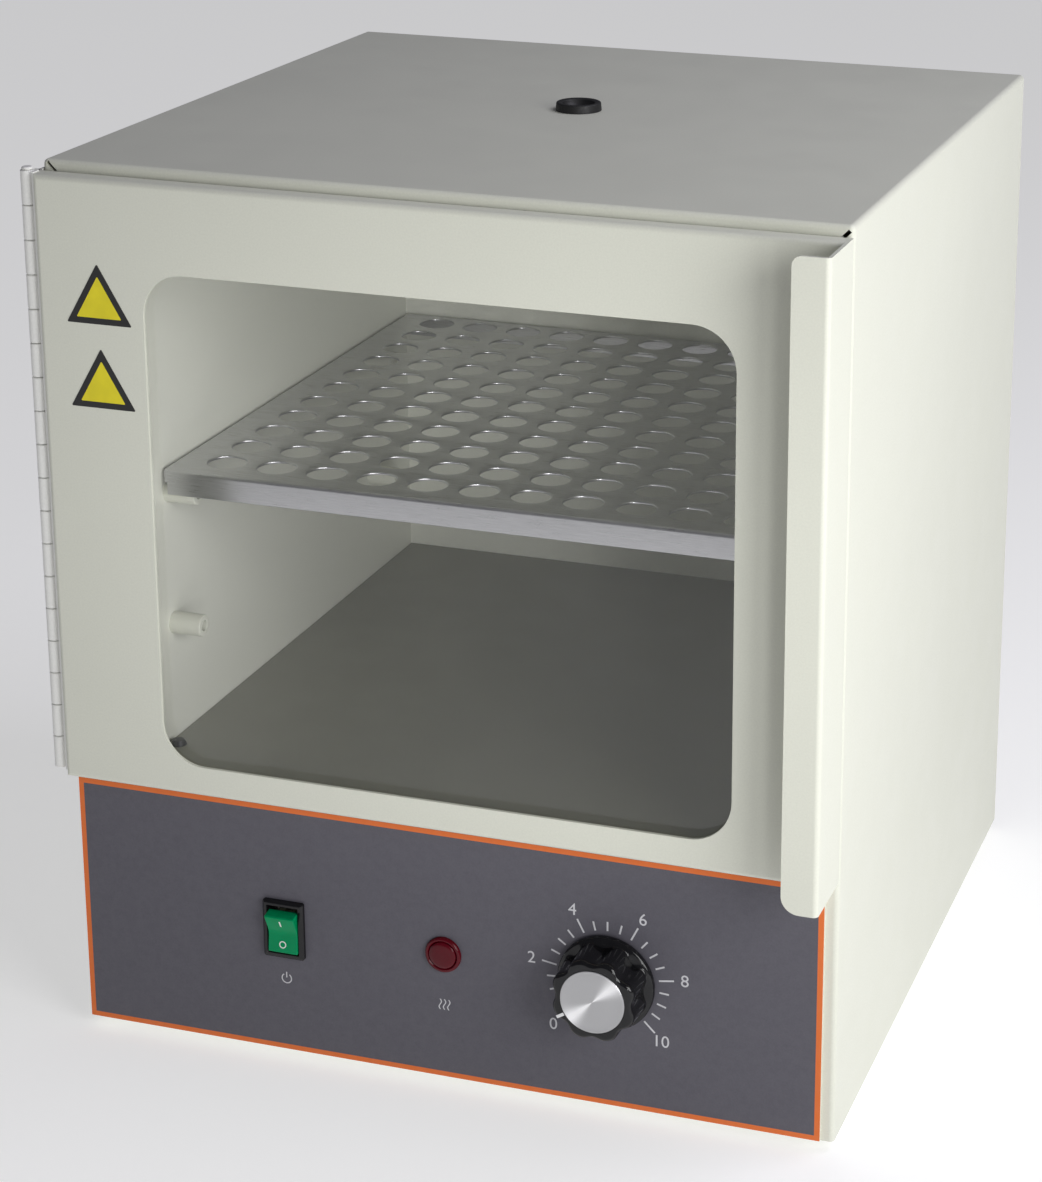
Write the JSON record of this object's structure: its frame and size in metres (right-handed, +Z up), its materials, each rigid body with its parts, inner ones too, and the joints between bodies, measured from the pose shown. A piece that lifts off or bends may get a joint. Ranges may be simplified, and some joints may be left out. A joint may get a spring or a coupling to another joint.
{
  "type": "laboratory incubator",
  "caption": "Compact laboratory incubator: insulated steel chamber behind a hinged glazed door, with a perforated shelf and a dial thermostat panel below.",
  "frame": {"origin": "centre of the whole outline on the table surface", "axes": "+Z up, the door and control panel face -Y, +X to the right when facing the door"},
  "size_m": [0.2864, 0.2922, 0.3254],
  "materials": {
    "cream_paint": "fine powder texture",
    "floor_paint": "satin",
    "panel_steel": "fine powder texture",
    "overlay_film": "fine texture with a coloured border",
    "stainless": "brushed",
    "zinc_steel": "zinc plated",
    "black_steel": "black oxide",
    "clear_acrylic": "clear",
    "black_rubber": "matt",
    "silicone": "matt",
    "black_plastic": "gloss",
    "grey_plastic": "matt",
    "spun_aluminium": "spun",
    "shaft_steel": "turned",
    "green_lens": "translucent",
    "red_lens": "translucent",
    "lamp_glass": "clear",
    "brass_pins": "nickel plated",
    "yellow_film": "gloss",
    "glass_wool": "loose",
    "silicone_mat": "matt",
    "brown_wire": "satin",
    "blue_wire": "satin",
    "green_wire": "satin",
    "red_wire": "satin",
    "copper": "drawn"
  },
  "bodies": {
    "cabinet": {"back_panel": "cream_paint", "back_screws": "zinc_steel", "base_pan": "cream_paint", "bulb_clips": "zinc_steel", "bush_nut": "zinc_steel", "catch_magnet": "stainless", "chamber_floor": "floor_paint", "chamber_liner": "cream_paint", "compartment_shield": "zinc_steel", "control_panel": "panel_steel", "earth_stud": "zinc_steel", "earth_wire": "green_wire", "feet": "black_rubber", "floor_screws": "black_steel", "foot_screws": "zinc_steel", "heater_lead": "red_wire", "heater_mat": "silicone_mat", "hinge_case_leaf": "cream_paint", "hinge_pin": "cream_paint", "hinge_rivets": "cream_paint", "inlet_pins": "brass_pins", "insulation": "glass_wool", "lamp_body": "red_lens", "lamp_bulb": "lamp_glass", "lamp_lens": "red_lens", "limit_thermostat": "zinc_steel", "live_wires": "brown_wire", "neutral_wires": "blue_wire", "outer_wrap": "cream_paint", "panel_overlay": "overlay_film", "port_grommet": "black_rubber", "port_tube": "stainless", "power_inlet": "black_plastic", "sensor_bulb": "stainless", "sensor_tube": "copper", "shelf_pegs": "cream_paint", "switch_housing": "black_plastic", "terminal_block": "grey_plastic", "thermostat_body": "grey_plastic"},
    "door": {"door_panel": "cream_paint", "window_pane": "clear_acrylic", "pane_studs": "zinc_steel", "pane_clips": "zinc_steel", "pane_nuts": "zinc_steel", "door_gasket": "silicone", "strike_plate": "stainless", "door_stickers": "yellow_film", "hinge_door_leaf": "cream_paint"},
    "shelf": {"shelf": "stainless"},
    "knob": {"knob": "black_plastic", "knob_cap": "spun_aluminium", "thermostat_shaft": "shaft_steel"},
    "rocker": {"rocker": "green_lens"},
    "fuse_drawer": {"fuse_drawer": "black_plastic", "fuse": "lamp_glass"}
  },
  "joints": [
    {"name": "door_hinge", "type": "hinge", "parent": "cabinet", "child": "door", "pos_m": [-0.1408, -0.12155, 0.211], "axis": [0, 0, -1], "range_deg": [0, 180]},
    {"name": "shelf_lift", "type": "slide", "parent": "cabinet", "child": "shelf", "axis": [0, 0, 1], "range_m": [0, 0.04]},
    {"name": "knob_turn", "type": "hinge", "parent": "cabinet", "child": "knob", "pos_m": [0.0632, -0.12755, 0.052], "axis": [0, 1, 0], "range_deg": [-14, 256]},
    {"name": "rocker_tilt", "type": "hinge", "parent": "cabinet", "child": "rocker", "pos_m": [-0.0568, -0.11755, 0.052], "axis": [-1, 0, 0], "range_deg": [0, 20]},
    {"name": "fuse_drawer_slide", "type": "slide", "parent": "cabinet", "child": "fuse_drawer", "axis": [0, 1, 0], "range_m": [0, 0.015]}
  ]
}
